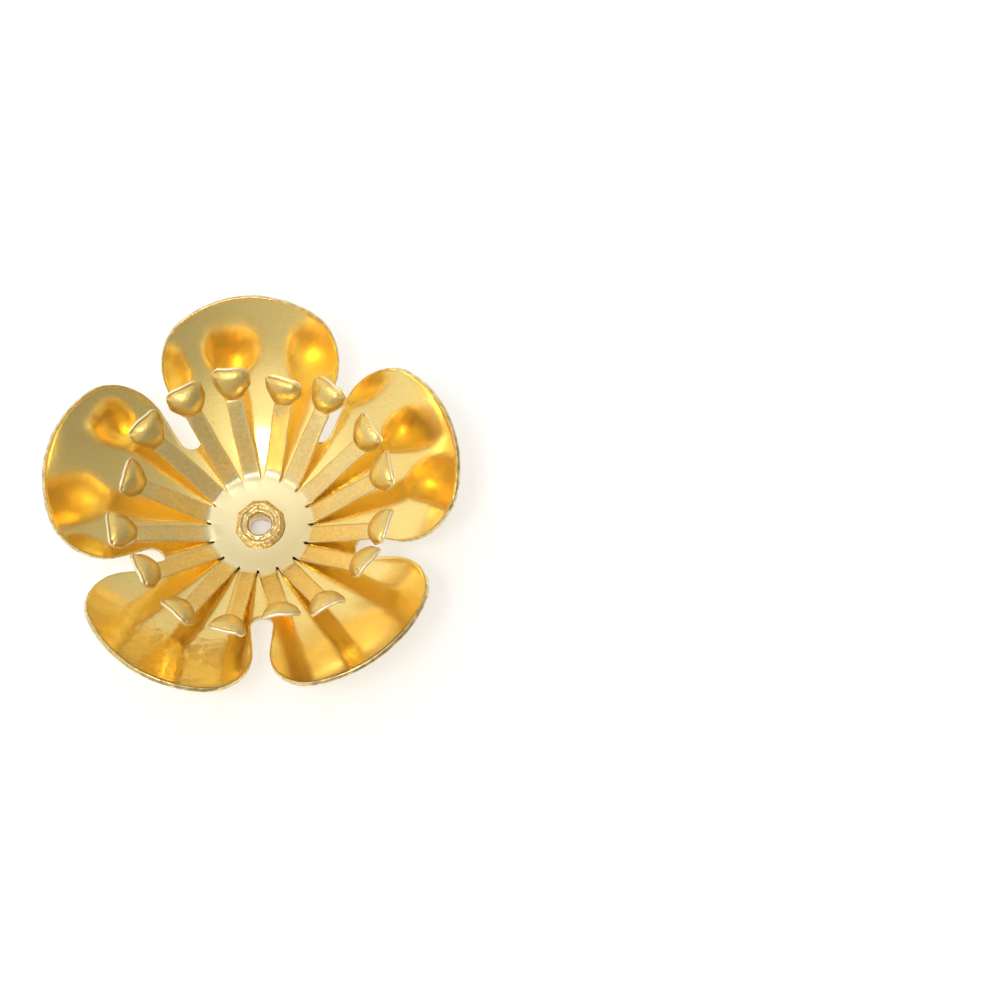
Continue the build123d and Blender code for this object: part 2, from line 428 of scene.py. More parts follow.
def stamen_stations():
    """Distances along a flat stamen, from the flower's axis, closest where its shape changes most."""
    disc = [SHEET_HOLE_RADIUS, 1.3, 1.6, 1.9, 2.2, 2.5, 2.75, 2.86]
    disc += [NOTCH_FLOOR + step for step in (0.0, 0.005, 0.02, 0.05, 0.1)]
    bend = [BEND_START + 0.03 + 0.06 * i for i in range(11)]
    neck = BEND_START + ARM_LENGTH
    straight = [3.9 + (neck - 0.3 - 3.9) * i / 12 for i in range(13)]
    fold = [neck - 0.24 + 0.06 * i for i in range(4)]
    quarter = [math.pi / 2 * i / 12 for i in range(13)]
    rise = [neck + HOOD_CROWN * (1 - math.cos(angle)) for angle in quarter]
    brim = HOOD_LENGTH - LIP_WIDTH
    fall = [neck + HOOD_CROWN + (brim - HOOD_CROWN) * math.sin(angle) for angle in quarter[1:]]
    lip = [neck + brim + LIP_WIDTH * share for share in (0.25, 0.5, 0.75, 1.0)]
    return disc + bend + straight + fold + rise + fall + lip


def stamen_half_width(station):
    """Half width of the flat blank at a distance from the flower's axis."""
    wedge = math.tan(math.pi / STAMEN_COUNT)
    along_hood = station - BEND_START - ARM_LENGTH
    if station <= NOTCH_FLOOR:
        return station * wedge
    if station < NOTCH_END:
        depth = NOTCH_FLOOR * wedge - ARM_HALF_WIDTH
        t = (station - NOTCH_FLOOR) / (NOTCH_END - NOTCH_FLOOR)
        return ARM_HALF_WIDTH + depth * (1 - math.sqrt(1 - (1 - t)**2))
    if along_hood <= 0:
        return ARM_HALF_WIDTH
    round_side = math.sin(math.pi / 2 * min(along_hood / HOOD_WIDEST, 1.0))
    flared_side = smooth_step(0.0, HOOD_WIDEST, along_hood)
    spread = 0.75 * round_side + 0.25 * flared_side
    return ARM_HALF_WIDTH + (HOOD_HALF_WIDTH - ARM_HALF_WIDTH) * spread


def hood_height(along):
    """Height of the pressed dome along the hood: steep at the neck and steep again at the brim."""
    if along <= 0:
        return 0.0
    away = along - HOOD_CROWN
    run = HOOD_CROWN if away < 0 else HOOD_LENGTH - LIP_WIDTH - HOOD_CROWN
    dome = HOOD_DEPTH * math.sqrt(max(1 - (away / run)**2, 0.0))
    brim = LIP_ARCH * smooth_step(HOOD_CROWN, HOOD_LENGTH - LIP_WIDTH, along)
    return (dome**3 + brim**3)**(1 / 3)


def rounded_corner(along, beside):
    """How far a point of a square-cornered hood moves in, along and beside it, to round the lip."""
    p = (along - HOOD_LENGTH + HOOD_CORNER) / HOOD_CORNER
    q = (beside - HOOD_HALF_WIDTH + HOOD_CORNER) / HOOD_CORNER
    if min(p, q) <= 0:
        return 0.0, 0.0
    reach = max(p, q)
    angle = math.pi / 4 * min(p, q) / reach
    near, far = reach * math.sin(angle), reach * math.cos(angle)
    round_p, round_q = (far, near) if p > q else (near, far)
    return (p - round_p) * HOOD_CORNER, (q - round_q) * HOOD_CORNER


def stamen_blank():
    """One stamen with its share of the disc, flat, its hood pressed, as a single surface."""
    columns = 20
    flange_columns = 1
    stations = stamen_stations()
    neck = BEND_START + ARM_LENGTH
    points = []
    ridge = []
    for station in stations:
        half_width = stamen_half_width(station)
        height = hood_height(station - BEND_START - ARM_LENGTH)
        pressed = smooth_step(0.0, 0.3, height)
        arc_share = 1 - smooth_step(2.6, BEND_START, station)
        sheared = smooth_step(BEND_START - 0.1, BEND_START + 0.2, station)
        dish = DISC_DISH * smooth_step(1.5, BEND_START + 0.4, station)
        flange = HOOD_FLANGE * pressed
        for column in range(columns + 1):
            side = 2 * column / columns - 1
            inner = min(abs(side) / (1 - 2 * flange_columns / columns), 1.0)
            past = max(abs(side) * columns / 2 - (columns / 2 - flange_columns), 0) / flange_columns
            on_dome = math.sin(math.pi / 2 * inner) * (half_width - flange) + flange * past
            on_strip = half_width * (math.sin(math.pi / 2 * abs(side)) + abs(side)) / 2
            y = math.copysign(on_strip + (on_dome - on_strip) * pressed, side)
            near_edge = max(abs(y) / half_width - 0.7, 0.0)**2 / 0.3**2
            edge = EDGE_ROLL if side > 0 else -EDGE_BURR
            z = height * math.cos(math.pi / 2 * inner) if inner < 1 else 0.0
            z += dish - edge * near_edge * sheared * (1 - pressed)
            angle = math.atan(y / station)
            in_x, in_y = rounded_corner(station - neck, abs(y))
            drawn_back = LIP_BULGE * (y / half_width)**2
            drawn_back *= max((station - neck - 0.9) / (HOOD_LENGTH - 0.9), 0.0)
            x = station - in_x - drawn_back + (station * math.cos(angle) - station) * arc_share
            y = math.copysign(abs(y) - in_y, y)
            y += (station * math.sin(angle) - y) * arc_share
            points.append((x, y, z))
            crest = max(1 - ((station - RIDGE_RADIUS) / RIDGE_REACH)**2, 0.0)
            ridge.append((crest * (1 - side**2))**2)
    faces = []
    for row in range(len(stations) - 1):
        for column in range(columns):
            corner = row * (columns + 1) + column
            faces.append((corner, corner + columns + 1, corner + columns + 2, corner + 1))
    mesh = mesh_from("stamen blank", points, faces)
    mesh.attributes.new("ridge", "FLOAT", "POINT").data.foreach_set("value", ridge)
    return mesh


def stamen_roots():
    """One point for each stamen, carrying how that one is bent."""
    mesh = bpy.data.meshes.new("stamen roots")
    mesh.from_pydata([(0, 0, 0)] * STAMEN_COUNT, [], [])
    step = 360 / STAMEN_COUNT
    rows = [(FIRST_STAMEN_ANGLE - i * step, *row) for i, row in enumerate(STAMENS)]
    for name, values in zip(("azimuth", "swing", "lean", "rise", "turn"), zip(*rows)):
        layer = mesh.attributes.new(name, "FLOAT", "POINT")
        layer.data.foreach_set("value", [math.radians(value) for value in values])
    hand = random.Random(11)
    bends = [hand.uniform(*BEND_RADII) * MM for _ in STAMENS]
    humps = [RIDGE_HEIGHT * hand.random()**4 * MM for _ in STAMENS]
    for name, values in (("bend", bends), ("hump", humps)):
        mesh.attributes.new(name, "FLOAT", "POINT").data.foreach_set("value", values)
    return new_object("stamen roots", mesh)


def bending_tree(blank, material):
    """Geometry nodes that set one blank at each root and bend it to that root's angles."""
    tree = bpy.data.node_groups.new("bent stamens", "GeometryNodeTree")
    sockets = [
        ("Geometry", "NodeSocketGeometry"),
        ("Bend start", "NodeSocketFloat"),
        ("Arm length", "NodeSocketFloat"),
        ("Sheet", "NodeSocketFloat"),
        ("Disc top", "NodeSocketFloat"),
        ("Dent depth", "NodeSocketFloat"),
        ("Dent scale", "NodeSocketFloat"),
        ("Dent seed", "NodeSocketFloat"),
    ]
    for name, kind in sockets:
        tree.interface.new_socket(name, in_out="INPUT", socket_type=kind)
    tree.interface.new_socket("Geometry", in_out="OUTPUT", socket_type="NodeSocketGeometry")
    given = tree.nodes.new("NodeGroupInput").outputs

    def named(name):
        found = add(tree, "GeometryNodeInputNamedAttribute", {"Name": name}, data_type="FLOAT")
        return found.outputs["Attribute"]

    def math_of(operation, *values):
        return sum_of(tree, operation, *values)

    flat = add(tree, "GeometryNodeObjectInfo", {"Object": blank}).outputs["Geometry"]
    place = add(tree, "GeometryNodeInputPosition").outputs[0]
    kept = add(tree, "GeometryNodeStoreNamedAttribute", {
        "Geometry": flat,
        "Name": "flat",
        "Value": place,
    }, data_type="FLOAT_VECTOR", domain="POINT")
    copies = add(tree, "GeometryNodeInstanceOnPoints", {
        "Points": given["Geometry"],
        "Instance": kept.outputs["Geometry"],
    })
    whole = add(tree, "GeometryNodeRealizeInstances", {"Geometry": copies.outputs["Instances"]})

    azimuth, swing, lean, rise, turn, radius, hump, ridge = map(
        named, ("azimuth", "swing", "lean", "rise", "turn", "bend", "hump", "ridge")
    )
    blank_place = add(
        tree, "GeometryNodeInputNamedAttribute", {"Name": "flat"}, data_type="FLOAT_VECTOR"
    ).outputs["Attribute"]
    parts = add(tree, "ShaderNodeSeparateXYZ", {0: blank_place}).outputs
    x = math_of("SUBTRACT", parts["X"], given["Bend start"])
    y = parts["Y"]
    z = math_of("MULTIPLY_ADD", hump, ridge, parts["Z"])

    # The strip rolls up round the bend, then runs straight
    bent_angle = math_of("MINIMUM", math_of("MAXIMUM", math_of("DIVIDE", x, radius), 0.0), lean)
    rest = math_of("SUBTRACT", x, math_of("MULTIPLY", radius, bent_angle))
    off_centre = math_of("SUBTRACT", radius, z)
    sine, cosine = math_of("SINE", bent_angle), math_of("COSINE", bent_angle)
    bent_x = math_of("MULTIPLY_ADD", off_centre, sine, math_of("MULTIPLY", rest, cosine))
    bent_z = math_of("MULTIPLY_ADD", rest, sine, radius)
    bent_z = math_of("SUBTRACT", bent_z, math_of("MULTIPLY", off_centre, cosine))
    strip = add(tree, "ShaderNodeCombineXYZ", {"X": bent_x, "Y": y, "Z": bent_z}).outputs[0]

    # The hood turns on the neck, at the middle of the sheet's thickness
    half_sheet = math_of("MULTIPLY", given["Sheet"], 0.5)
    run = math_of("SUBTRACT", given["Arm length"], math_of("MULTIPLY", radius, lean))
    neck_off = math_of("ADD", radius, half_sheet)
    lean_sine, lean_cosine = math_of("SINE", lean), math_of("COSINE", lean)
    neck_x = math_of("MULTIPLY_ADD", neck_off, lean_sine, math_of("MULTIPLY", run, lean_cosine))
    neck_z = math_of("MULTIPLY_ADD", run, lean_sine, radius)
    neck_z = math_of("SUBTRACT", neck_z, math_of("MULTIPLY", neck_off, lean_cosine))
    neck = add(tree, "ShaderNodeCombineXYZ", {"X": neck_x, "Z": neck_z}).outputs[0]
    past_neck = math_of("SUBTRACT", x, given["Arm length"])
    share = remap(tree, past_neck, -0.3 * MM, 0.1 * MM, kind="SMOOTHSTEP")
    pitch = math_of("MULTIPLY_ADD", math_of("SUBTRACT", rise, lean), share, lean)
    from_neck = add(tree, "ShaderNodeCombineXYZ", {
        "X": past_neck,
        "Y": y,
        "Z": math_of("ADD", z, half_sheet),
    }).outputs[0]
    pitched = add(tree, "ShaderNodeVectorRotate", {
        "Vector": from_neck,
        "Angle": math_of("MULTIPLY", pitch, -1.0),
    }, rotation_type="Y_AXIS").outputs[0]
    yawed = add(tree, "ShaderNodeVectorRotate", {
        "Vector": pitched,
        "Angle": math_of("MULTIPLY", turn, share),
    }, rotation_type="Z_AXIS").outputs[0]
    hood = vector_of(tree, "ADD", yawed, neck)

    past_bend = math_of("GREATER_THAN", past_neck, -1.0 * MM)
    shaped = add(tree, "GeometryNodeSwitch", {
        "Switch": past_bend,
        "False": strip,
        "True": hood,
    }, input_type="VECTOR").outputs[0]
    swing_share = remap(tree, x, -0.15 * MM, 0.1 * MM, kind="SMOOTHSTEP")
    swung = add(tree, "ShaderNodeVectorRotate", {
        "Vector": shaped,
        "Angle": math_of("MULTIPLY", swing, swing_share),
    }, rotation_type="Z_AXIS").outputs[0]
    root = add(tree, "ShaderNodeCombineXYZ", {
        "X": given["Bend start"],
        "Z": given["Disc top"],
    }).outputs[0]
    placed = add(tree, "ShaderNodeVectorRotate", {
        "Vector": vector_of(tree, "ADD", swung, root),
        "Angle": azimuth,
    }, rotation_type="Z_AXIS").outputs[0]
    bent = add(tree, "GeometryNodeSetPosition", {
        "Geometry": whole.outputs["Geometry"],
        "Position": placed,
    })
    joined = add(tree, "GeometryNodeMergeByDistance", {
        "Geometry": bent.outputs["Geometry"],
        "Distance": 0.004 * MM,
    })

    # Small dents from the tools, none on the flat disc
    seeded = add(tree, "ShaderNodeTexNoise", {
        "Scale": given["Dent scale"],
        "Detail": 2.0,
        "W": given["Dent seed"],
    }, noise_dimensions="4D")
    centred = vector_of(tree, "SUBTRACT", seeded.outputs["Color"], (0.5, 0.5, 0.5))
    strength = remap(tree, past_neck, -6.3 * MM, 1.5 * MM)
    strength = math_of("MULTIPLY", strength, given["Dent depth"])
    offset = vector_of(tree, "SCALE", centred, strength, key="Scale")
    dented = add(tree, "GeometryNodeSetPosition", {
        "Geometry": joined.outputs["Geometry"],
        "Offset": offset,
    })
    plain = add(tree, "GeometryNodeRealizeInstances", {"Geometry": dented.outputs["Geometry"]})
    finished = add(tree, "GeometryNodeSetMaterial", {
        "Geometry": plain.outputs["Geometry"],
        "Material": material,
    })
    out = tree.nodes.new("NodeGroupOutput")
    tree.links.new(finished.outputs["Geometry"], out.inputs["Geometry"])
    return tree


def stamen_crown_piece(material):
    """The disc and its sixteen stamens as one sheet with a rounded cut edge."""
    blank = new_object("stamen blank", stamen_blank())
    crown = stamen_roots()
    crown.name = "stamens"
    tree = bending_tree(blank, material)
    sizes = {
        "Bend start": BEND_START * MM,
        "Arm length": ARM_LENGTH * MM,
        "Sheet": STAMEN_SHEET * MM,
        "Disc top": DISC_TOP * MM,
        "Dent depth": 0.3 * MM,
        "Dent scale": 700.0,
        "Dent seed": 4.0,
    }
    maker = crown.modifiers.new("bent stamens", "NODES")
    maker.node_group = tree
    for item in tree.interface.items_tree:
        if item.in_out == "INPUT" and item.name in sizes:
            maker[item.identifier] = sizes[item.name]
    applied(crown)
    bpy.data.objects.remove(blank)

    crown.data = thickened(crown.data, STAMEN_SHEET * MM)
    crown.data.materials.append(material)
    return crown


def evened(directions, pairs, rounds):
    """The directions, each blended a few times with those it is paired with."""
    directions = [direction.normalized() for direction in directions]
    for _ in range(rounds):
        sums = [direction.copy() for direction in directions]
        for first, second in pairs:
            sums[first] += directions[second] * 0.5
            sums[second] += directions[first] * 0.5
        directions = [total.normalized() for total in sums]
    return directions


def thickened(sheet, thickness):
    """A closed copy of an open sheet, given a back and a cut edge rounded by tumbling."""
    places = [vertex.co.copy() for vertex in sheet.vertices]
    neighbours = [tuple(edge.vertices) for edge in sheet.edges]
    normals = evened([vertex.normal for vertex in sheet.vertices], neighbours, 3)
    flat = [Vector(item.vector) for item in sheet.attributes["flat"].data]
    count = len(places)
    facing = [0.0] * count
    uses = [0] * count
    walks = set()
    for face in sheet.polygons:
        ring = list(face.vertices)
        walks.update(zip(ring, ring[1:] + ring[:1]))
        for i in ring:
            facing[i] += normals[i].dot(face.normal)
            uses[i] += 1
    stretch = [min(used / max(faced, 0.1), 1.25) for used, faced in zip(uses, facing)]
    points = places + [
        place - normal * thickness * more for place, normal, more in zip(places, normals, stretch)
    ]
    faces = [list(face.vertices) for face in sheet.polygons]
    faces += [[i + count for i in reversed(face)] for face in faces]

    edges = sorted(walk for walk in walks if walk[::-1] not in walks)
    outward = [Vector() for _ in places]
    for first, second in edges:
        side = (places[second] - places[first]).cross(normals[first] + normals[second]).normalized()
        outward[first] += side
        outward[second] += side
    outward = evened(outward, edges, 4)
    source = list(range(count)) * 2
    cut = [0.0] * (2 * count)
    rim = {}
    for i in sorted({i for edge in edges for i in edge}):
        away = outward[i]
        front, back = points[i].copy(), points[i + count].copy()
        room = smooth_step(NOTCH_FLOOR, NOTCH_FLOOR + 0.35, flat[i].x / MM)
        rim[i] = [i]
        for share in CUT_SHARES:
            rim[i].append(len(points))
            swell = CUT_BULGE * math.sqrt(1 - (2 * share - 1)**2) - CUT_INSET
            points.append(front.lerp(back, share) + away * swell * room * MM)
            source.append(i)
            cut.append(1.0)
        rim[i].append(i + count)
        points[i] = front - away * CUT_INSET * room * MM
        points[i + count] = back - away * CUT_INSET * room * MM
    for first, second in edges:
        for step in range(len(CUT_SHARES) + 1):
            faces.append((
                rim[second][step], rim[first][step], rim[first][step + 1], rim[second][step + 1]
            ))
    mesh = mesh_from("stamens", [point / MM for point in points], faces)
    behind = [0.0] * count + [1.0] * count + [0.0] * (len(points) - 2 * count)
    mesh.attributes.new("cut", "FLOAT", "POINT").data.foreach_set("value", cut)
    mesh.attributes.new("behind", "FLOAT", "POINT").data.foreach_set("value", behind)
    kept = mesh.attributes.new("flat", "FLOAT_VECTOR", "POINT")
    kept.data.foreach_set("vector", [number for i in source for number in flat[i]])
    return mesh


# Rivet

def rivet_section():
    """Closed section of the rivet, (radius, height), from the bore over the flange, down and round."""
    points = [(BORE_RADIUS, -0.45), (BORE_RADIUS, -0.1), (BORE_RADIUS, 0.3), (BORE_RADIUS, 0.64)]
    points += [(0.69, 0.74), (0.71, 0.82), (0.75, 0.89), (0.8, 0.935), (0.85, 0.945), (0.9, 0.925)]
    points += [(0.95, 0.885), (1.01, 0.86), (1.07, 0.865), (1.13, 0.9), (1.17, 0.95), (1.21, 0.99)]
    points += [(1.26, 1.01), (1.31, 0.995), (1.36, 0.955), (1.42, 0.91), (1.49, 0.865), (1.55, 0.81)]
    points += [(1.59, 0.75)]
    points += [(1.56, FLANGE_Z + 0.005), (1.4, FLANGE_Z)]
    points += [(SHANK_RADIUS, FLANGE_Z), (SHANK_RADIUS, 0.35), (SHANK_RADIUS, HEAD_TOP)]
    points += [(1.8, HEAD_TOP), (2.48, HEAD_TOP), (2.56, HEAD_TOP - 0.03), (2.59, HEAD_TOP - 0.1)]
    ring_radius = HEAD_RADIUS - HEAD_CROWN_RADIUS
    ring = Vector((HEAD_CROWN_RADIUS, HEAD_TOP - HEAD_HEIGHT + ring_radius))
    points += [(HEAD_RADIUS, ring.y + 0.2)]
    mouth_angle = -math.pi + math.acos((HEAD_CROWN_RADIUS - MOUTH_RADIUS) / ring_radius)
    points += [tuple(point) for point in arc(ring, ring_radius, 0.0, mouth_angle, 0.11)]
    points += [(MOUTH_RADIUS - 0.02, -0.85), (0.86, -0.7), (0.74, -0.56)]
    return points


def flange_reach(angle):
    """How far the peened flange reaches at an angle, its flats a little rounded off."""
    reaches = [FLANGE_RADIUS]
    for azimuth, distance in FLANGE_FLATS:
        cosine = math.cos(angle - math.radians(azimuth))
        if cosine > 0.5:
            reaches.append(distance / cosine)
    return min(reaches) / FLANGE_RADIUS


def rivet_mesh():
    """The rivet spun round its bore, with hammered flats and a lumpy pressed head."""
    segments = 144
    section = rivet_section()
    points = []
    for step in range(segments):
        angle = 2 * math.pi * step / segments
        around = Vector((math.cos(angle), math.sin(angle), 0))
        for radius, height in section:
            base = around * radius + Vector((0, 0, height))
            on_flange = smooth_step(1.0, 1.5, radius) * smooth_step(0.6, 0.75, height)
            on_head = smooth_step(-0.05, -0.3, height) if height < -0.05 else 0.0
            on_head *= smooth_step(0.8, 1.2, radius)
            hammered = smooth_step(0.75, 0.85, height) * smooth_step(0.7, 0.95, radius)
            radius *= 1 + (flange_reach(angle) - 1) * on_flange
            lump = noise.noise(base * 1.1 + Vector((4.0, 0, 0))) * 0.07
            lump += noise.noise(base * 3.1) * 0.035
            radius += lump * 0.8 * on_head * smooth_step(1.75, 2.3, radius)
            height += abs(lump) * 0.9 * on_head * (1 - smooth_step(2.2, 2.6, radius))
            beat = noise.noise(base * 2.2 + Vector((0, 7.0, 0))) * 0.07
            beat += noise.noise(base * 5.5) * 0.05
            beat += noise.noise(around * 7.5) * 0.05 * smooth_step(1.05, 1.25, base.xy.length)
            height += min(beat * hammered, FLANGE_TOP - height)
            radius += beat * 0.35 * hammered
            bore = noise.noise(Vector((around.x, around.y, base.z)) * 1.6) * 0.08
            radius -= bore * (1 - smooth_step(0.69, 0.9, radius))
            points.append(around * radius + Vector((0, 0, height)))
    faces = []
    count = len(section)
    for step in range(segments):
        ahead = (step + 1) % segments
        for i in range(count):
            j = (i + 1) % count
            faces.append((step * count + i, step * count + j, ahead * count + j, ahead * count + i))
    return mesh_from("rivet", points, faces)


# Shared effects for the materials

def effect_group(name, inputs, outputs):
    """An empty shader group with float inputs and outputs, and its two end nodes."""
    tree = bpy.data.node_groups.new(name, "ShaderNodeTree")
    for label, value in inputs:
        socket = tree.interface.new_socket(label, in_out="INPUT", socket_type="NodeSocketFloat")
        socket.default_value = value
    for label in outputs:
        tree.interface.new_socket(label, in_out="OUTPUT", socket_type="NodeSocketFloat")
    return tree, tree.nodes.new("NodeGroupInput").outputs, tree.nodes.new("NodeGroupOutput").inputs


def metal_grain_group():
    """Fine surface of plated sheet: a grain height and slow cloudy patches."""
    inputs = [("Grain scale", 9000.0), ("Cloud scale", 260.0)]
    tree, given, out = effect_group("metal grain", inputs, ["Grain", "Clouds"])
    place = add(tree, "ShaderNodeTexCoord").outputs["Object"]
    fine = add(tree, "ShaderNodeTexNoise", {
        "Vector": place, "Scale": given["Grain scale"], "Detail": 3.0, "Roughness": 0.6,
    })
    clouds = add(tree, "ShaderNodeTexNoise", {
        "Vector": place, "Scale": given["Cloud scale"], "Detail": 4.0, "Roughness": 0.55,
    })
    tree.links.new(fine.outputs["Fac"], out["Grain"])
    tree.links.new(remap(tree, clouds.outputs["Fac"], 0.3, 0.7), out["Clouds"])
    return tree


def specks_group():
    """Sparse small stains and pits, as a mask."""
    inputs = [("Scale", 700.0), ("Size", 0.16), ("Share", 0.12), ("Core", 0.0)]
    tree, given, out = effect_group("specks", inputs, ["Mask"])
    place = add(tree, "ShaderNodeTexCoord").outputs["Object"]
    cells = add(tree, "ShaderNodeTexVoronoi", {"Vector": place, "Scale": given["Scale"]})
    pick = add(tree, "ShaderNodeSeparateColor", {"Color": cells.outputs["Color"]}).outputs["Red"]
    chosen = sum_of(tree, "LESS_THAN", pick, given["Share"])
    core = sum_of(tree, "MULTIPLY", given["Size"], given["Core"])
    dot = remap(tree, cells.outputs["Distance"], given["Size"], core)
    tree.links.new(sum_of(tree, "MULTIPLY", dot, chosen), out["Mask"])
    return tree


def scratches_group():
    """Short fine scratches in one direction, as a mask."""
    inputs = [("Angle", 0.0), ("Scale", 500.0), ("Amount", 0.1)]
    tree, given, out = effect_group("scratches", inputs, ["Mask"])
    place = add(tree, "ShaderNodeTexCoord").outputs["Object"]
    spun = add(tree, "ShaderNodeVectorRotate", {
        "Vector": place, "Angle": given["Angle"],
    }, rotation_type="Z_AXIS").outputs[0]
    stretched = vector_of(tree, "MULTIPLY", spun, (1.0, 6.0, 1.0))
    streaks = add(tree, "ShaderNodeTexNoise", {
        "Vector": stretched, "Scale": given["Scale"], "Detail": 1.0,
    }).outputs["Fac"]
    limit = sum_of(tree, "SUBTRACT", 0.78, given["Amount"])
    tree.links.new(remap(tree, streaks, limit, sum_of(tree, "ADD", limit, 0.06)), out["Mask"])
    return tree


GRAIN = metal_grain_group()
SPECKS = specks_group()
SCRATCHES = scratches_group()


def effect(tree, group, **values):
    """One of the shared effects placed in a material; words in a value's name are joined by _."""
    made = tree.nodes.new("ShaderNodeGroup")
    made.node_tree = group
    for name, value in values.items():
        made.inputs[name.replace("_", " ").capitalize()].default_value = value
    return made.outputs


def blend(tree, share, first, second):
    """Colour between two colours or sockets."""
    made = add(tree, "ShaderNodeMix", {"Factor": share, 6: first, 7: second}, data_type="RGBA")
    return made.outputs[2]


def gold_metal(name, bright, worn, roughness, grain_scale, speck_share, mottling, scratching):
    """A gold-coloured plating: its shader, and its tint, roughness and grain still to be linked."""
    material = bpy.data.materials.new(name)
    material.use_nodes = True
    tree = material.node_tree
    shader = tree.nodes["Principled BSDF"]
    shader.inputs["Metallic"].default_value = 1.0
    shader.inputs["Coat Weight"].default_value = 0.8
    shader.inputs["Coat Roughness"].default_value = 0.3
    surface = effect(tree, GRAIN, grain_scale=grain_scale, cloud_scale=300.0)
    spots = effect(tree, SPECKS, scale=640.0, size=0.07, share=speck_share, core=0.5)["Mask"]
    stains = effect(tree, SPECKS, scale=420.0, size=0.16, share=0.08)["Mask"]
    marks = effect(tree, SCRATCHES, angle=0.6, scale=1600.0, amount=scratching)["Mask"]
    tint = blend(tree, surface["Clouds"], bright, worn)
    mottled = remap(tree, surface["Grain"], 0.35, 0.65, 0.0, mottling)
    tint = blend(tree, mottled, tint, (0.5, 0.34, 0.08, 1.0))
    tint = blend(tree, sum_of(tree, "MULTIPLY", stains, 0.6), tint, (0.9, 0.5, 0.09, 1.0))
    tint = blend(tree, sum_of(tree, "MULTIPLY", marks, 0.4), tint, (0.45, 0.3, 0.1, 1.0))
    tint = blend(tree, spots, tint, (0.12, 0.07, 0.03, 1.0))
    rough = remap(tree, surface["Clouds"], 0.0, 1.0, *roughness)
    rough = sum_of(tree, "MULTIPLY_ADD", spots, 0.3, rough, clamp=True)
    height = sum_of(tree, "MULTIPLY_ADD", marks, -1.2, surface["Grain"])
    height = sum_of(tree, "MULTIPLY_ADD", spots, -1.5, height)
    return material, tree, shader, tint, rough, height


def link_surface(tree, shader, tint, rough, height, depth):
    """Link a finish to its shader; depth is the grain's in millimetres."""
    bump = add(tree, "ShaderNodeBump", {"Height": height, "Distance": depth * MM})
    tree.links.new(tint, shader.inputs["Base Color"])
    tree.links.new(rough, shader.inputs["Roughness"])
    tree.links.new(bump.outputs["Normal"], shader.inputs["Normal"])


def object_place(tree):
    return add(tree, "ShaderNodeTexCoord").outputs["Object"]


def petal_gold():
    """Polished petals, duller in the middle where the wheel could not reach, with a browner cut edge."""
    material, tree, shader, tint, rough, height = gold_metal(
        "petal gold", (1.0, 0.75, 0.25, 1.0), (0.96, 0.7, 0.21, 1.0), (0.12, 0.17),
        7500.0, 0.08, 0.16, 0.03
    )
    plan = vector_of(tree, "MULTIPLY", object_place(tree), (1.0, 1.0, 0.0))
    reach = add(tree, "ShaderNodeVectorMath", {0: plan}, operation="LENGTH").outputs["Value"]
    height = sum_of(tree, "MULTIPLY", height, remap(tree, reach, 5.0 * MM, 8.5 * MM, 1.0, 0.3))
    from_beaten = vector_of(tree, "SUBTRACT", plan, BEATEN_SPOT * MM)
    away = add(tree, "ShaderNodeVectorMath", {0: from_beaten}, operation="LENGTH").outputs["Value"]
    beaten = remap(tree, away, 5.5 * MM, 2.0 * MM, 0.12, 1.0, kind="SMOOTHSTEP")
    lumps = add(tree, "ShaderNodeTexNoise", {
        "Vector": object_place(tree), "Scale": 1200.0, "Detail": 2.5, "Roughness": 0.45,
    }).outputs["Fac"]
    height = sum_of(tree, "MULTIPLY_ADD", sum_of(tree, "MULTIPLY", lumps, beaten), 12.0, height)
    cut = add(tree, "ShaderNodeAttribute", attribute_name="cut").outputs["Fac"]
    crumbs = add(tree, "ShaderNodeTexNoise", {
        "Vector": object_place(tree), "Scale": 3200.0, "Detail": 2.0,
    }).outputs["Fac"]
    raw = blend(tree, remap(tree, crumbs, 0.35, 0.65), (0.42, 0.31, 0.13, 1.0), (0.8, 0.62, 0.3, 1.0))
    edged = blend(tree, sum_of(tree, "MULTIPLY", cut, 0.8), tint, raw)
    link_surface(tree, shader, edged, rough, height, 0.003)
    return material


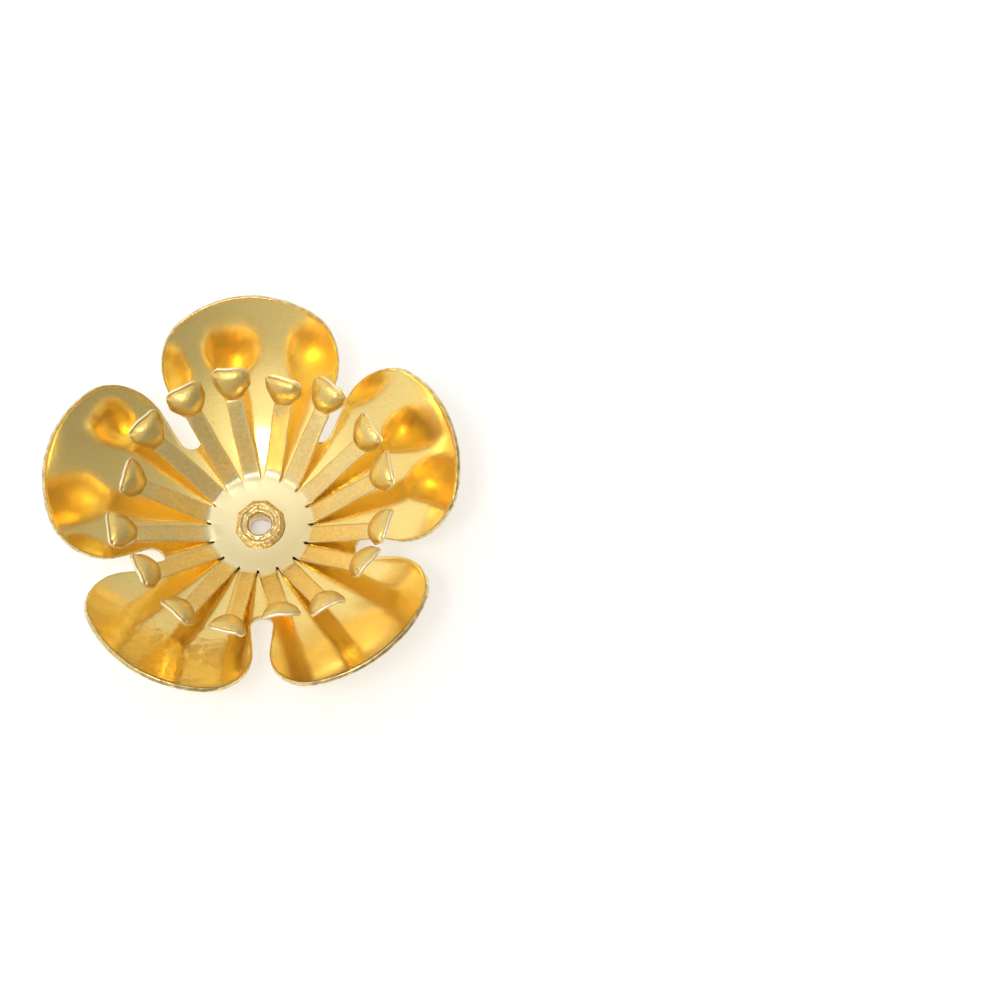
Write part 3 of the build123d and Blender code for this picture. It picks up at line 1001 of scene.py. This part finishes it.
def stamen_gold():
    """Burnished disc painted pale on one side and duller on the other as painted light and shade, grainy
    satin strips of a warmer gold, hoods painted darker amber as painted shade, and paler sheared edges,
    partly raw metal and partly painted highlight.
    """
    material, tree, shader, tint, rough, height = gold_metal(
        "stamen gold", (0.98, 0.75, 0.3, 1.0), (0.9, 0.66, 0.23, 1.0), (0.26, 0.36),
        4600.0, 0.05, 0.3, -0.02
    )
    flat = add(tree, "ShaderNodeAttribute", attribute_name="flat").outputs["Vector"]
    along = add(tree, "ShaderNodeSeparateXYZ", {0: flat}).outputs["X"]
    neck = (BEND_START + ARM_LENGTH) * MM
    raised = remap(tree, along, 2.8 * MM, 4.6 * MM, kind="SMOOTHSTEP")
    # Painted light and shade: the disc's colour runs from pale cream to a duller gold across it, in
    # place of the brighter and dimmer reflections it shows.
    across = vector_of(tree, "MULTIPLY", object_place(tree), PAINTED_SHADE_SIDE)
    across = add(tree, "ShaderNodeVectorMath", {0: across, 1: (1.0, 1.0, 1.0)},
                 operation="DOT_PRODUCT").outputs["Value"]
    duller = remap(tree, across, -2.0 * MM, 2.5 * MM)
    disc = blend(tree, duller, (0.96, 0.81, 0.45, 1.0), (0.79, 0.63, 0.31, 1.0))
    tint = blend(tree, raised, disc, tint)
    on_hood = remap(tree, along, neck - 0.1 * MM, neck + 0.3 * MM)
    # Painted shade: the front of each hood is tinted a darker amber, in place of the dimmer reflections
    # there; the backs get their own lighter tint below.
    tint = blend(tree, sum_of(tree, "MULTIPLY", on_hood, 0.6), tint, (0.72, 0.49, 0.12, 1.0))
    lacquer = remap(tree, on_hood, 0.0, 1.0, 0.8, 0.4)
    tree.links.new(lacquer, shader.inputs["Coat Weight"])
    behind = add(tree, "ShaderNodeAttribute", attribute_name="behind").outputs["Fac"]
    tint = blend(tree, behind, tint, (1.0, 0.83, 0.34, 1.0))
    cut = add(tree, "ShaderNodeAttribute", attribute_name="cut").outputs["Fac"]
    # Paler cut faces: partly the raw sheared metal's own colour, partly a painted highlight that
    # brightens the thin lines along the lips and edges.
    tint = blend(tree, sum_of(tree, "MULTIPLY", cut, 0.8), tint, (0.95, 0.87, 0.68, 1.0))
    rough = sum_of(tree, "MULTIPLY", rough, remap(tree, raised, 0.0, 1.0, 0.6, 1.0))
    rough = sum_of(tree, "MULTIPLY_ADD", behind, -0.1, rough)
    height = sum_of(tree, "MULTIPLY", height, remap(tree, raised, 0.0, 1.0, 0.15, 1.0))
    link_surface(tree, shader, tint, rough, height, 0.03)
    return material


def rivet_gold():
    """Duller, pebbly gold of the upset rivet."""
    material, tree, shader, tint, rough, height = gold_metal(
        "rivet gold", (0.9, 0.69, 0.32, 1.0), (0.74, 0.55, 0.25, 1.0), (0.2, 0.3),
        4200.0, 0.05, 0.3, -0.02
    )
    shader.inputs["Coat Weight"].default_value = 0.6
    link_surface(tree, shader, tint, rough, height, 0.018)
    return material


# Pieces

def place_piece(piece, node):
    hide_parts(node)
    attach(piece, "root")


petals = new_object("petals", petal_dish_mesh())
petals.data.materials.append(petal_gold())
place_piece(petals, "petal_dish")

stamens = stamen_crown_piece(stamen_gold())
place_piece(stamens, "stamen_crown")

rivet = new_object("rivet", rivet_mesh())
rivet.data.materials.append(rivet_gold())
place_piece(rivet, "hollow_rivet")


# Floor, light and camera

LAMP_DIRECTION = Vector((-0.13, -0.28, 0.95)).normalized()


def pale_floor():
    """A plain near-white surface just under the rivet's head."""
    half = 400.0
    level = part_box("hollow_rivet")[0].z / MM
    corners = [(-half, -half, level), (half, -half, level), (half, half, level), (-half, half, level)]
    floor = new_object("floor", mesh_from("floor", corners, [(0, 1, 2, 3)]))
    paper = bpy.data.materials.new("white paper")
    paper.use_nodes = True
    shader = paper.node_tree.nodes["Principled BSDF"]
    shader.inputs["Base Color"].default_value = (0.72, 0.72, 0.72, 1.0)
    shader.inputs["Roughness"].default_value = 0.9
    shader.inputs["Emission Color"].default_value = (1.0, 1.0, 1.0, 1.0)
    shader.inputs["Emission Strength"].default_value = 0.4
    floor.data.materials.append(paper)


def soft_surround():
    """A white tent round the table: brighter to the left, dimmer to the right, soft lamp overhead."""
    world = bpy.data.worlds.new("white tent")
    world.use_nodes = True
    scene.world = world
    tree = world.node_tree
    direction = add(tree, "ShaderNodeTexCoord").outputs["Generated"]

    def towards(target):
        return add(tree, "ShaderNodeVectorMath", {0: direction, 1: target},
                   operation="DOT_PRODUCT").outputs["Value"]

    level = sum_of(tree, "ADD", towards((-0.31, 0.21, 0.0)), 0.74)
    lamp_side = towards(LAMP_DIRECTION)
    glow = remap(tree, lamp_side, 0.7, 1.0, 0.0, 0.5, kind="SMOOTHSTEP")
    tree.links.new(sum_of(tree, "ADD", level, glow), tree.nodes["Background"].inputs["Strength"])
    tree.nodes["Background"].inputs["Color"].default_value = (1.0, 1.0, 1.0, 1.0)


def key_lamp():
    """One round soft lamp beside the camera."""
    lamp = bpy.data.lights.new("key lamp", "AREA")
    lamp.shape = "DISK"
    lamp.size = 0.16
    lamp.energy = 0.75
    made = new_object("key lamp", lamp)
    made.location = LAMP_DIRECTION * 0.7
    made.rotation_euler = LAMP_DIRECTION.to_track_quat("Z", "Y").to_euler()


def photo_camera():
    """Camera at the photograph's angle, turned so that the flower sits at the left of the frame."""
    azimuth = math.radians(-76.013)
    elevation = math.radians(71.019)
    roll = math.radians(16.607)
    distance = 472.66
    scale = 16.105              # pixels of the 1000 wide frame to a millimetre at the flower
    flower_at = (261.2, 528.8)  # where the rivet lands in that frame
    half_frame = 500.0
    sensor = 36.0

    plan = Vector((math.cos(azimuth), math.sin(azimuth), 0))
    back = plan * math.cos(elevation) + Vector((0, 0, math.sin(elevation)))
    across = Vector((-plan.y, plan.x, 0))
    upwards = back.cross(across)
    right = across * math.cos(roll) - upwards * math.sin(roll)
    up = across * math.sin(roll) + upwards * math.cos(roll)
    centre = Vector((0, 0, -0.16))
    place = centre + back * distance
    aim = centre + right * (half_frame - flower_at[0]) / scale + up * (flower_at[1] - half_frame) / scale
    forward = (aim - place).normalized()
    right = (right - forward * right.dot(forward)).normalized()
    axes = Matrix((right, right.cross(forward), -forward)).transposed()

    camera = bpy.data.cameras.new("camera")
    camera.sensor_width = sensor
    camera.lens = scale * distance * sensor / (2 * half_frame)
    camera.clip_start = 0.05
    camera.clip_end = 5.0
    made = new_object("camera", camera)
    made.matrix_world = Matrix.Translation(place * MM) @ axes.to_4x4()
    scene.camera = made


pale_floor()
soft_surround()
key_lamp()
photo_camera()
scene.view_settings.view_transform = "Standard"
